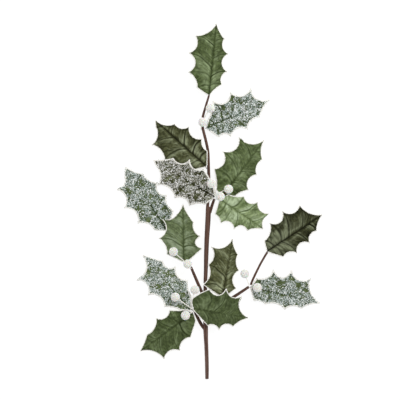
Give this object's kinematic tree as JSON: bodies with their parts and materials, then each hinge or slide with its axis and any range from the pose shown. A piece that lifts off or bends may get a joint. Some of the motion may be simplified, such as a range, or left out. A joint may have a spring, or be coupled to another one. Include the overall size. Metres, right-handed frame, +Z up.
{
  "type": "artificial holly sprig",
  "caption": "Artificial frosted holly sprig, lying face up: pressed fabric leaves, some glittered, white beaded berries on thin wires, and paper-wrapped wire stems.",
  "frame": {"origin": "centre of the outline in plan, on the surface that the sprig lies on", "axes": "+Y along the main stem from the cut end to the top leaf, +Z up from the surface, with the leaves facing up"},
  "size_m": [0.264, 0.4572, 0.0335],
  "materials": {
    "leaf_olive": "matte",
    "leaf_green": "matte",
    "leaf_pale": "matte",
    "leaf_glitter": "satin",
    "berry_beads": "satin",
    "stalk_covering": "matte",
    "stem_tape": "matte",
    "core_wire": "satin"
  },
  "bodies": {
    "root": {"berry_01": "berry_beads", "berry_02": "berry_beads", "berry_03": "berry_beads", "berry_04": "berry_beads", "berry_05": "berry_beads", "berry_06": "berry_beads", "berry_07": "berry_beads", "berry_08": "berry_beads", "berry_09": "berry_beads", "berry_10": "berry_beads", "berry_11": "berry_beads", "berry_12": "berry_beads", "berry_stalk_01": "stalk_covering", "berry_stalk_02": "stalk_covering", "berry_stalk_03": "stalk_covering", "berry_stalk_04": "stalk_covering", "berry_stalk_05": "stalk_covering", "berry_stalk_06": "stalk_covering", "berry_stalk_07": "stalk_covering", "berry_stalk_08": "stalk_covering", "berry_stalk_09": "stalk_covering", "berry_stalk_10": "stalk_covering", "berry_stalk_11": "stalk_covering", "berry_stalk_12": "stalk_covering", "branch_left": "stem_tape", "branch_lower_left": "stem_tape", "branch_right": "stem_tape", "branch_upper": "stem_tape", "leaf_01_top": "leaf_green", "leaf_02_upper_right": "leaf_glitter", "leaf_03_upper_left": "leaf_olive", "leaf_04_mid_left": "leaf_glitter", "leaf_05_far_left": "leaf_glitter", "leaf_06_left": "leaf_pale", "leaf_07_right": "leaf_green", "leaf_08_right_low": "leaf_pale", "leaf_09_far_right": "leaf_olive", "leaf_10_right_bottom": "leaf_glitter", "leaf_11_centre": "leaf_olive", "leaf_12_bottom_centre": "leaf_green", "leaf_13_left_low": "leaf_glitter", "leaf_14_bottom_left": "leaf_green", "leaf_wire_01_top": "stem_tape", "leaf_wire_02_upper_right": "stem_tape", "leaf_wire_03_upper_left": "stem_tape", "leaf_wire_04_mid_left": "stem_tape", "leaf_wire_05_far_left": "stem_tape", "leaf_wire_06_left": "stem_tape", "leaf_wire_07_right": "stem_tape", "leaf_wire_08_right_low": "stem_tape", "leaf_wire_09_far_right": "stem_tape", "leaf_wire_10_right_bottom": "stem_tape", "leaf_wire_11_centre": "stem_tape", "leaf_wire_12_bottom_centre": "stem_tape", "leaf_wire_13_left_low": "stem_tape", "leaf_wire_14_bottom_left": "stem_tape", "main_stem_core_wire": "core_wire", "main_stem_lower": "stem_tape", "main_stem_upper": "stem_tape"}
  },
  "joints": []
}
